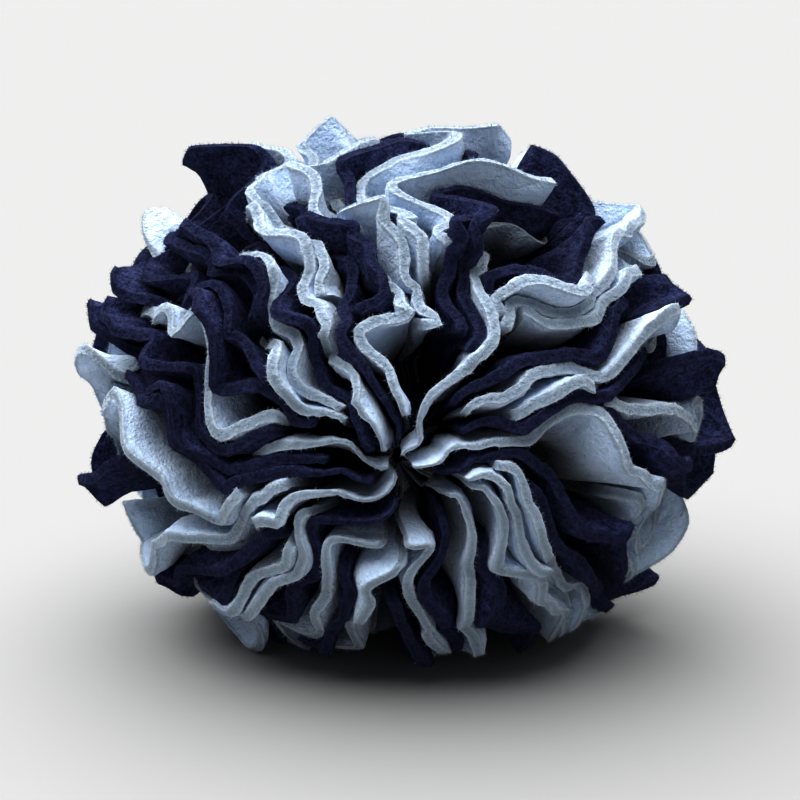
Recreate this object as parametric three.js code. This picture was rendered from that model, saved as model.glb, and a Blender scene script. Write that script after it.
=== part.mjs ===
// A snuffle ball for a dog: squares of polar fleece threaded through their middles on one tie and
// drawn together, so that they stand round the ball's axis like the pages of a book.
//
// Frame: millimetres, +Z up, Y along the ball's axis with the front pole at -Y, origin on the ground
// under the middle. A square is followed by two angles: "fall", from the front pole over the rim to
// the back pole, and "clock", clockwise from the top as the front pole is looked at.
import * as THREE from "three";

// Driving sizes of the ball.
const HALF_WIDTH = 80;
const CROWN_HEIGHT = 69;
const BELLY_DEPTH = 69;
const AXIS_HEIGHT = 61;
const HALF_LENGTH = 56;
const FLOOR_SHARPNESS = 20;
const FOOT_TOLERANCE = 2.2;

// Driving sizes of one square.
const RIM_THICKNESS = 1.5;
const HUB_THICKNESS = 1.0;
const HUB_RADIUS = 22;
const LAYER_PITCH = 3.1;
const HUB_PITCH = 1.8;
const POLE_RADIUS = 8;
const HUB_DRAW = 0.5;
const SIDE_IN_DEGREES = 77;
const NARROWEST_FLAP = 0.14;

// The ribs: falls at which every sheet is bent, so that neighbours nest in each other.
const RIBS = [
  8, 12, 16, 20, 24, 28, 32, 36, 40, 44, 48, 52, 56, 60, 65, 72, 82,
  94, 106, 117, 127, 136, 144, 152, 160, 168,
];

const PALE = "pale";
const NAVY = "navy";
const FLEECES = {
  [PALE]: { color: 0xb9cbe0, roughness: 0.95 },
  [NAVY]: { color: 0x232a55, roughness: 0.95 },
};

// One row for each square, in clockwise order from the bottom. "sunk" is how deep its inner front
// corner lies, as a share of the way out to the ball's face, and "folds" are the bends of its front
// edge from the inner corner to the outer one, each as [fall, clock] in degrees.
const SQUARES = [
  { tone: PALE, sunk: 1, folds: [[19, -180], [21, -173], [25, -167.5], [34, -163.5]] },
  {
    tone: NAVY,
    sunk: 1,
    folds: [[22, -153], [29, -160], [37, -165], [42, -165], [48, -161], [60, -159]],
  },
  {
    tone: PALE,
    sunk: 1,
    folds: [[15, -172], [16, -148], [19, -139.5], [23, -143], [28, -147], [34, -151]],
  },
  { tone: PALE, sunk: 1, folds: [[17, -124], [20, -128], [25, -131.5], [37, -137], [49, -138.5]] },
  { tone: NAVY, sunk: 0.6, folds: [[28, -124], [37, -127], [44, -130], [51, -132.5]] },
  {
    tone: NAVY,
    sunk: 1,
    folds: [[24, -119.5], [40, -123], [50, -124], [60, -123], [70, -123.5], [82, -126]],
  },
  {
    tone: PALE,
    sunk: 1,
    folds: [[7, -135], [9, -115], [11, -105], [14, -108], [18, -113.5], [25, -119.5]],
  },
  {
    tone: PALE,
    sunk: 1,
    folds: [
      [19, -99], [22, -106], [26, -111.5], [37, -117],
      [43, -115], [50, -112.5], [60, -117.5], [85, -124],
    ],
  },
  { tone: NAVY, sunk: 0.6, folds: [[40, -103], [56, -99], [62, -98], [70, -99.5], [80, -102]] },
  {
    tone: PALE,
    sunk: 1,
    folds: [[28, -104], [38, -111], [43, -109], [46, -101], [51, -95], [63, -84]],
  },
  {
    tone: PALE,
    sunk: 0.6,
    folds: [[50, -82], [64, -82.5], [72, -83], [80, -80], [90, -80.5], [98, -83]],
  },
  {
    tone: NAVY,
    sunk: 1,
    folds: [[12, -106], [16, -97], [21, -95], [31, -100], [34, -98], [37, -91], [45, -78]],
  },
  { tone: NAVY, sunk: 1, folds: [[14, -90], [18, -86], [23, -89], [28, -93], [32, -91], [43, -74]] },
  { tone: PALE, sunk: 1, folds: [[6, -85], [8, -72], [13, -76], [19, -80.5]] },
  {
    tone: NAVY,
    sunk: 1,
    folds: [[22, -76], [27, -82], [31, -85], [35, -82], [44, -72.5], [52, -73], [60, -72.5], [66, -71]],
  },
  {
    tone: PALE,
    sunk: 1,
    folds: [
      [23, -67.5], [27, -77], [31, -81.5], [36, -76], [41, -66],
      [43, -58], [47, -52.5], [54, -52], [60, -62],
    ],
  },
  { tone: NAVY, sunk: 0.6, folds: [[50, -49], [60, -55], [66, -61], [72, -62.5], [76, -61]] },
  { tone: NAVY, sunk: 1, folds: [[17, -66], [21, -68], [30, -60], [37, -68], [40, -62], [46, -49]] },
  {
    tone: NAVY,
    sunk: 1,
    folds: [[28, -54], [35, -49.5], [39, -46], [46, -40.5], [51, -42], [61, -50]],
  },
  { tone: PALE, sunk: 1, folds: [[13, -49], [17, -54], [20, -59], [23.5, -55], [29, -46]] },
  {
    tone: NAVY,
    sunk: 1,
    folds: [[40, -41.5], [45, -39.5], [50, -40.5], [62, -47], [69, -49.3], [78, -49.5]],
  },
  {
    tone: PALE,
    sunk: 1,
    folds: [[15.5, -41], [22.5, -48.5], [26, -45.5], [29, -39.5], [34, -35.5], [46, -33]],
  },
  { tone: NAVY, sunk: 1, folds: [[13, -33], [17, -37], [20, -38], [28, -30.5], [36, -32]] },
  { tone: NAVY, sunk: 0.6, folds: [[45, -31.5], [55, -34], [66, -34], [80, -34.3], [97, -36]] },
  {
    tone: PALE,
    sunk: 1,
    folds: [[27, -25.5], [32, -29], [37, -30], [42, -26.5], [48, -23.5], [55, -26], [66, -30]],
  },
  {
    tone: PALE,
    sunk: 1,
    folds: [
      [36, -27.5], [40, -25.5], [45, -20.5], [50, -17.5],
      [55, -18.5], [68, -27.5], [80, -29.5], [94, -31.5],
    ],
  },
  {
    tone: NAVY,
    sunk: 1,
    folds: [[12, -22], [17, -18], [22, -19], [31, -26], [36, -27.5], [40, -24], [46, -13.5]],
  },
  { tone: NAVY, sunk: 1, folds: [[30, -17], [33, -8], [36, 0], [39, -5], [43, -11.5], [56, -15.5]] },
  { tone: PALE, sunk: 1, folds: [[53, -13], [58, -15.5], [62, -18.5], [67, -22.5], [72, -27]] },
  {
    tone: PALE,
    sunk: 1,
    folds: [[12, -12], [20, -7], [23, -14], [26, -19], [28, -14], [30, 0], [32, 10]],
  },
  { tone: PALE, sunk: 1, folds: [[30, 13], [34, 10], [38, 6], [41, -1], [45, -6.5], [54, -11.5]] },
  { tone: NAVY, sunk: 1, folds: [[52, -9.5], [58, -11.5], [64, -13.5], [69, -12.5], [74, -3]] },
  {
    tone: PALE,
    sunk: 1,
    folds: [[40, 10], [44, 4], [52, -6], [57, -7.5], [61, -6.8], [70, 0], [76, 12]],
  },
  { tone: NAVY, sunk: 0.6, folds: [[50, -2], [60, -5], [66, 2], [71, 12], [84, 14]] },
  {
    tone: PALE,
    sunk: 1,
    folds: [[45, 9], [50, 2.5], [55, -1.5], [60, -3.5], [64, -2], [67, 8], [74, 36]],
  },
  { tone: NAVY, sunk: 1, folds: [[30.5, 19], [34, 15], [38, 12.2], [42, 10.7], [49, 10]] },
  { tone: NAVY, sunk: 1, folds: [[28, 31], [40, 20], [44, 15.5], [47, 13.5], [50, 13.5], [53, 17]] },
  {
    tone: PALE,
    sunk: 1,
    folds: [[8, 3], [12, 13], [19, 28], [24, 33.5], [28, 32], [32, 29.5], [37, 27]],
  },
  { tone: NAVY, sunk: 0.6, folds: [[55, 30], [62, 34], [68, 38], [84, 41.5], [90, 43]] },
  {
    tone: NAVY,
    sunk: 1,
    folds: [[40, 21], [44, 29], [45.5, 35], [48, 41], [52, 44], [58, 44.3], [67, 41]],
  },
  { tone: PALE, sunk: 1, folds: [[36, 29], [41, 32.5], [43, 37], [46, 43], [49, 47]] },
  {
    tone: PALE,
    sunk: 1,
    folds: [
      [34, 31], [37.5, 32], [40, 36], [42, 42], [45, 48],
      [48, 51], [54, 51.3], [70, 48], [92, 50],
    ],
  },
  { tone: PALE, sunk: 1, folds: [[38, 40], [42, 49], [46, 54], [51, 55.8], [62, 53.5], [70, 56]] },
  { tone: NAVY, sunk: 1, folds: [[15, 42], [26, 50], [36, 59], [41, 62.5], [45, 63], [52, 57.5]] },
  { tone: NAVY, sunk: 0.6, folds: [[50, 57.5], [56, 60.5], [61, 63], [68, 66.5], [76, 67.5]] },
  {
    tone: PALE,
    sunk: 1,
    folds: [
      [15, 46], [21, 57.5], [24, 56], [28, 52.5], [31, 54],
      [38, 64], [42, 67], [48, 67.5], [59, 64.5],
    ],
  },
  { tone: NAVY, sunk: 1, folds: [[13, 62], [17, 63], [26, 70], [32, 69.5], [41, 72]] },
  { tone: PALE, sunk: 1, folds: [[41, 75], [44, 78.5], [53, 82.5], [58, 85], [66, 91]] },
  { tone: NAVY, sunk: 0.6, folds: [[50, 88], [56, 90], [62, 92.5], [70, 95.5], [80, 97.3], [92, 99]] },
  { tone: NAVY, sunk: 1, folds: [[38, 72], [41, 79], [44, 84.5], [48, 89], [51, 94], [55, 97]] },
  {
    tone: PALE,
    sunk: 1,
    folds: [
      [9, 55], [12, 66], [20, 75], [23, 76], [27, 73],
      [31, 72], [35, 74], [37, 80], [39, 90], [46, 100],
    ],
  },
  {
    tone: PALE,
    sunk: 1,
    folds: [
      [46, 101.5], [49, 104], [52, 111], [56, 117],
      [62, 121], [70, 124], [80, 126.5], [94, 129.5],
    ],
  },
  {
    tone: NAVY,
    sunk: 1,
    folds: [[15, 82], [20, 87], [24, 92], [28, 98], [32, 107], [37, 113], [43, 114.5]],
  },
  {
    tone: NAVY,
    sunk: 1,
    folds: [[24, 104], [28, 113], [38, 122], [50, 127], [64, 131.7], [86, 135], [98, 136.5]],
  },
  {
    tone: PALE,
    sunk: 1,
    folds: [
      [10, 85], [14, 89], [18, 94], [21.5, 112], [24, 119],
      [28, 124], [39, 131], [49, 136], [66, 143], [92, 144],
    ],
  },
  { tone: PALE, sunk: 1, folds: [[11, 92], [16, 98], [19.5, 108], [22, 120], [27, 139]] },
  {
    tone: NAVY,
    sunk: 1,
    folds: [[22, 133], [27, 141], [37, 151], [42, 152.5], [52, 148], [66, 150.5], [92, 151]],
  },
  {
    tone: PALE,
    sunk: 1,
    folds: [
      [9, 110], [18, 132], [25, 148], [30, 154], [38, 156.5],
      [46, 158.5], [62, 165.5], [80, 166.5], [90, 163],
    ],
  },
  {
    tone: PALE,
    sunk: 1,
    folds: [
      [13, 180], [14.5, 166], [17, 168], [20, 174.5], [24, 176.5],
      [28, 175], [37, 167.5], [48, 169.5], [66, 172.5], [90, 171],
    ],
  },
  {
    tone: NAVY,
    sunk: 1,
    folds: [[29, 184], [33, 181], [37, 178], [45, 176.5], [70, 176.5], [95, 177]],
  },
];

const COUNT = SQUARES.length;
const HUB_DEPTH = HUB_RADIUS / HALF_WIDTH;

// How a cut edge passes from its front half to its back half, in degrees of fall.
const FRONT_LEAVES = 84;
const BACK_JOINS = 96;
const BACK_BLUR = 6;
const FIRST_OUTER_BACK = 104;
const NEAREST_INNER_BACK = 12;
const SHORTEST_BACK_EDGE = 16;

// How the courses settle beside each other. A weight is how strongly a layer keeps to its own clock
// angle when it is crowded.
const SETTLING_ROUNDS = 12;
const SETTLING_STEP = 0.6;
const STEEPEST = 3;
const HIDDEN_WEIGHT = 0.15;
const ABSENT_WEIGHT = 0.02;
const ABSENT_TIE_WEIGHT = 0.05;
const ABSENT_PITCH = 0.15;

// Shares: of the front edge over which a sunk corner comes out to the face, of the flap that is left
// at least, and of the hub's radius at which a sheet has its full thickness.
const CORNER_RISE = 0.7;
const LEAST_FLAP = 0.4;
const FULL_THICKNESS = 2.6;

const radians = THREE.MathUtils.degToRad;
const degrees = THREE.MathUtils.radToDeg;
const { clamp, lerp, smoothstep } = THREE.MathUtils;

// The clock angle of an edge at one fall, straight from fold to fold.
function readFolds(folds, fall) {
  const after = folds.findIndex(([at]) => at >= fall);
  if (after === 0) return folds[0][1];
  if (after < 0) return folds[folds.length - 1][1];
  const [fallA, clockA] = folds[after - 1];
  const [fallB, clockB] = folds[after];
  return lerp(clockA, clockB, (fall - fallA) / (fallB - fallA));
}

const firstFall = (square) => square.folds[0][0];
const lastFall = (square) => square.folds[square.folds.length - 1][0];

// The clock angles a square's cut edge would take alone, rib by rib. Its back half is the front half
// of the square opposite it in the list, seen in a mirror.
function plainCourse(index) {
  const own = SQUARES[index];
  const twin = SQUARES[COUNT - 1 - index];
  const leaves = Math.min(lastFall(own), FRONT_LEAVES);
  const joins = Math.max(180 - lastFall(twin), BACK_JOINS);
  return RIBS.map((fall) => {
    const mirrored = [-1, 0, 1].map((side) => -readFolds(twin.folds, 180 - fall + side * BACK_BLUR));
    const behind = (mirrored[0] + mirrored[1] + mirrored[2]) / 3;
    return lerp(readFolds(own.folds, fall), behind, smoothstep(fall, leaves, joins));
  });
}

function nearestRib(fall) {
  const misses = RIBS.map((at) => Math.abs(at - fall));
  return misses.indexOf(Math.min(...misses));
}

// The ribs of a square's four corners: inner front, outer front, outer back and inner back.
function corners(index) {
  const own = SQUARES[index];
  const twin = SQUARES[COUNT - 1 - index];
  const innerBack = 180 - Math.max(firstFall(twin), NEAREST_INNER_BACK);
  const lastOuterBack = innerBack - SHORTEST_BACK_EDGE;
  const outerBack = clamp(lastFall(own) + SIDE_IN_DEGREES, FIRST_OUTER_BACK, lastOuterBack);
  return [firstFall(own), lastFall(own), outerBack, innerBack].map(nearestRib);
}

// Half width of the ball's cross-section at a clock angle, with its flat spot on the ground.
function reach(clock, spread) {
  const side = Math.sin(radians(clock)) / HALF_WIDTH;
  const rise = Math.cos(radians(clock));
  const oval = spread / Math.hypot(side, rise / (rise > 0 ? CROWN_HEIGHT : BELLY_DEPTH));
  if (rise >= 0) return oval;
  const ground = (oval * -rise) / AXIS_HEIGHT;
  return oval / (1 + ground ** FLOOR_SHARPNESS) ** (1 / FLOOR_SHARPNESS);
}

// Whether a square's cut edge shows at a rib (1), is further in there (HIDDEN_WEIGHT) or absent (0).
function presence(index, rib) {
  const [innerFront, outerFront, outerBack, innerBack] = corners(index);
  if (rib < innerFront || rib > innerBack) return 0;
  return rib <= outerFront || rib >= outerBack ? 1 : HIDDEN_WEIGHT;
}

// The nearest clock angles to those wanted that keep every layer at least its room from the next:
// neighbours that crowd each other are pooled and share the difference.
function makeRoom(wanted, rooms, weights) {
  const pools = [];
  let offset = 0;
  wanted.forEach((clock, index) => {
    pools.push({ sum: (clock - offset) * weights[index], weight: weights[index], size: 1 });
    offset += rooms[index];
    while (pools.length > 1) {
      const last = pools[pools.length - 1];
      const before = pools[pools.length - 2];
      if (before.sum / before.weight <= last.sum / last.weight) break;
      pools.pop();
      before.sum += last.sum;
      before.weight += last.weight;
      before.size += last.size;
    }
  });
  const level = pools.flatMap((pool) => Array(pool.size).fill(pool.sum / pool.weight));
  let raised = 0;
  return level.map((clock, index) => {
    const settled = clock + raised;
    raised += rooms[index];
    return settled;
  });
}

// How steeply a course runs to either side of a rib, sideways travel for travel along the face.
function steepness(course, rib) {
  const slope = (a, b) => {
    const spread = Math.sin(radians((RIBS[a] + RIBS[b]) / 2));
    return (spread * Math.abs(course[b] - course[a])) / (RIBS[b] - RIBS[a]);
  };
  const before = rib > 0 ? slope(rib - 1, rib) : 0;
  const after = rib < RIBS.length - 1 ? slope(rib, rib + 1) : 0;
  return Math.max(before, after);
}

// All the courses, settled beside each other.
function settleCourses() {
  const plain = SQUARES.map((_, index) => plainCourse(index));
  let settled = plain;
  for (let round = 0; round < SETTLING_ROUNDS; round += 1) {
    const steep = settled.map((course) => RIBS.map((_, rib) => steepness(course, rib)));
    const next = plain.map((course) => [...course]);
    RIBS.forEach((fall, rib) => {
      const shown = SQUARES.map((_, index) => presence(index, rib));
      const pitches = shown.map((share) => (share > 0 ? LAYER_PITCH : ABSENT_PITCH));
      const rooms = settled.map((course, index) => {
        const beside = Math.min(index + 1, COUNT - 1);
        const slope = Math.max(steep[index][rib], steep[beside][rib]);
        const pitch = (pitches[index] + pitches[beside]) / 2;
        const radius = reach(course[rib], Math.sin(radians(fall)));
        return degrees((pitch * Math.hypot(1, Math.min(slope, STEEPEST))) / radius);
      });
      const weights = shown.map((share) => Math.max(share, ABSENT_WEIGHT));
      makeRoom(plain.map((course) => course[rib]), rooms, weights).forEach((clock, index) => {
        next[index][rib] = lerp(settled[index][rib], clock, SETTLING_STEP);
      });
    });
    settled = next;
  }
  return settled;
}

// Where the squares leave the tie, rib by rib: how far from the axis, and at which clock angles. Few
// squares reach the poles, so they come closer to the axis there.
function settleTie() {
  return RIBS.map((fall, rib) => {
    const spread = Math.sin(radians(fall));
    const here = SQUARES.map((_, index) => presence(index, rib) > 0);
    const crowd = here.filter(Boolean).length / COUNT;
    const radius = Math.min(
      Math.max(HUB_RADIUS * crowd, POLE_RADIUS),
      (1 - NARROWEST_FLAP) * HALF_WIDTH * spread,
    );
    const depth = radius / HALF_WIDTH / spread;
    const share = (depth - HUB_DEPTH) / (1 - HUB_DEPTH);
    const wanted = COURSES.map((course, index) => {
      const even = (360 * (index + 0.5)) / COUNT - 180;
      const mean = course.reduce((sum, clock) => sum + clock, 0) / course.length;
      return lerp(lerp(even, mean, HUB_DRAW), course[rib], clamp(share, 0, 1));
    });
    const pitches = here.map((shown) => (shown ? HUB_PITCH : ABSENT_PITCH));
    const rooms = pitches.map((pitch, index) => {
      const beside = pitches[Math.min(index + 1, COUNT - 1)];
      return degrees((pitch + beside) / 2 / radius);
    });
    const clocks = makeRoom(wanted, rooms, here.map((shown) => (shown ? 1 : ABSENT_TIE_WEIGHT)));
    const span = clocks[COUNT - 1] - clocks[0] + rooms[COUNT - 1];
    const middle = (clocks[COUNT - 1] + clocks[0]) / 2;
    return { depth, clocks: clocks.map((clock) => middle + (clock - middle) * Math.min(1, 360 / span)) };
  });
}

const COURSES = settleCourses();
const TIE = settleTie();

function onBall(clock, fall, depth) {
  const radius = reach(clock, depth * Math.sin(radians(fall)));
  const turn = radians(clock);
  return new THREE.Vector3(
    radius * Math.sin(turn),
    -HALF_LENGTH * depth * Math.cos(radians(fall)),
    AXIS_HEIGHT + radius * Math.cos(turn),
  );
}

// How far out the cut edge lies at a rib: on the ball's face along the front and back edges, and on
// the straight line between the two outer corners.
function edgeDepth(index, rib) {
  const [innerFront, outerFront, outerBack] = corners(index);
  if (rib <= outerFront) {
    const share = (rib - innerFront) / (outerFront - innerFront);
    return lerp(SQUARES[index].sunk, 1, smoothstep(share, 0, CORNER_RISE));
  }
  if (rib >= outerBack) return 1;
  const middle = (RIBS[outerFront] + RIBS[outerBack]) / 2;
  return Math.cos(radians(middle - RIBS[outerFront])) / Math.cos(radians(RIBS[rib] - middle));
}

// The grid of a square's middle surface: a row of points at the tie and a row at the cut edge, both
// on straight lines from the ball's middle part to its face.
function surfaceGrid(index) {
  const [innerFront, , , innerBack] = corners(index);
  const rows = [[], []];
  for (let rib = innerFront; rib <= innerBack; rib += 1) {
    const fall = RIBS[rib];
    const clock = COURSES[index][rib];
    const { depth, clocks } = TIE[rib];
    const inner = onBall(clocks[index], fall, depth);
    const outer = onBall(clock, fall, 1);
    const out = Math.max((edgeDepth(index, rib) - depth) / (1 - depth), LEAST_FLAP);
    rows[0].push(inner);
    rows[1].push(inner.clone().lerp(outer, out));
  }
  return rows;
}

function thicknessAt(point) {
  const out = Math.hypot(point.x, point.z - AXIS_HEIGHT);
  return lerp(HUB_THICKNESS, RIM_THICKNESS, smoothstep(out, HUB_RADIUS, FULL_THICKNESS * HUB_RADIUS));
}

// A closed sheet of the given grid's shape, with its thickness laid half to each side.
function sheetGeometry(rows) {
  const last = rows.length - 1;
  const end = rows[0].length - 1;
  const faces = [1, -1].map((side) => rows.map((line, row) => line.map((point, cell) => {
    const outward = rows[row][Math.min(cell + 1, end)].clone().sub(rows[row][Math.max(cell - 1, 0)]);
    const backward = rows[Math.min(row + 1, last)][cell].clone().sub(rows[Math.max(row - 1, 0)][cell]);
    const normal = outward.cross(backward).normalize();
    const moved = normal.multiplyScalar((side * thicknessAt(point)) / 2).add(point);
    if (moved.z < FOOT_TOLERANCE) moved.z = 0;
    return moved;
  })));
  const positions = faces.flat(2).flatMap((point) => point.toArray());
  const width = end + 1;
  const half = width * rows.length;
  const at = (side, row, cell) => side * half + row * width + cell;
  const indices = [];
  const quad = (a, b, c, d) => indices.push(a, b, c, a, c, d);
  for (let row = 0; row < last; row += 1) {
    for (let cell = 0; cell < end; cell += 1) {
      quad(at(0, row, cell), at(0, row, cell + 1), at(0, row + 1, cell + 1), at(0, row + 1, cell));
      quad(at(1, row, cell), at(1, row + 1, cell), at(1, row + 1, cell + 1), at(1, row, cell + 1));
    }
  }
  const loop = [];
  for (let cell = 0; cell < end; cell += 1) loop.push([0, cell]);
  for (let row = 0; row < last; row += 1) loop.push([row, end]);
  for (let cell = end; cell > 0; cell -= 1) loop.push([last, cell]);
  for (let row = last; row > 0; row -= 1) loop.push([row, 0]);
  loop.forEach(([row, cell], step) => {
    const [nextRow, nextCell] = loop[(step + 1) % loop.length];
    quad(at(1, row, cell), at(1, nextRow, nextCell), at(0, nextRow, nextCell), at(0, row, cell));
  });
  const geometry = new THREE.BufferGeometry();
  geometry.setAttribute("position", new THREE.Float32BufferAttribute(positions, 3));
  geometry.setIndex(indices);
  geometry.computeVertexNormals();
  return geometry;
}

const ball = new THREE.Group();
SQUARES.forEach((square, index) => {
  const sheet = new THREE.Mesh(
    sheetGeometry(surfaceGrid(index)),
    new THREE.MeshStandardMaterial({ metalness: 0, ...FLEECES[square.tone] }),
  );
  sheet.name = `${square.tone}_square_${String(index + 1).padStart(2, "0")}`;
  ball.add(sheet);
});

// The origin goes under the middle of the box the ball fills.
const middle = new THREE.Box3().setFromObject(ball).getCenter(new THREE.Vector3());
ball.children.forEach((sheet) => sheet.geometry.translate(-middle.x, -middle.y, 0));

export default ball;
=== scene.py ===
"""A snuffle ball for a dog: squares of polar fleece in two blues, drawn together on one tie.

The squares stand round the ball's axis like ruffled pages. The axis lies along Y, with the front
pole at -Y. A place on the ball is told by two angles, in degrees: the "fall", from the front pole
over the rim to the back pole, and the "clock", clockwise from the top as the front pole is looked
at. Lengths are millimetres until a mesh is made, and metres from there on.
"""

import logging
import math
from dataclasses import dataclass, field
from enum import Enum
from itertools import count

import bpy
import numpy as np
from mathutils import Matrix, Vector

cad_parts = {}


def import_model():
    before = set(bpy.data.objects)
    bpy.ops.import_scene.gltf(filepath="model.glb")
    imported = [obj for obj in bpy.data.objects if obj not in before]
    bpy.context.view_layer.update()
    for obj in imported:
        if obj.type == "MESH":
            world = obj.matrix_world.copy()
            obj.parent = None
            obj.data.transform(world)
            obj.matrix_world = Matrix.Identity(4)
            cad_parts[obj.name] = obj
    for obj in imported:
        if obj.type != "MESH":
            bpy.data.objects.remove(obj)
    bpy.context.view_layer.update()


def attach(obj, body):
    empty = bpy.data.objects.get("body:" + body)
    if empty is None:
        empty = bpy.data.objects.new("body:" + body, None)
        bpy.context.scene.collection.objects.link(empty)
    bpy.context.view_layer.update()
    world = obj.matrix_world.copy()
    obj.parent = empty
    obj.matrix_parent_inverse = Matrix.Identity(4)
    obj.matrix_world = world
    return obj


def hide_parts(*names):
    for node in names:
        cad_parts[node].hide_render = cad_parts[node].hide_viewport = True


log = logging.getLogger("snuffle_ball")

MM = 0.001
WHITE = (1.0, 1.0, 1.0, 1.0)

# Two numbers that belong together, and the linear shares of a colour with its opacity.
Pair = tuple[float, float]
Colour = tuple[float, float, float, float]


class Tone(Enum):
    """The two fleeces the ball is cut from."""

    PALE = "pale"
    NAVY = "navy"


@dataclass(frozen=True)
class Cut:
    """One square of fleece and the course of its front edge.

    tone: the fleece it is cut from.
    sunk: how deep its inner front corner lies, as a share of the way out to the ball's face.
    folds: the bends of its front edge from the inner corner to the outer one, as (fall, clock).
    solid: whether the solid model has this square too.
    side: the side it was cut to, in metres.
    proud: how much further its outer corners stand out than chance alone puts them.
    """

    tone: Tone
    sunk: float
    folds: tuple[Pair, ...]
    solid: bool = True
    side: float = 0.071
    proud: float = 0.0


PALE, NAVY = Tone.PALE, Tone.NAVY

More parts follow.
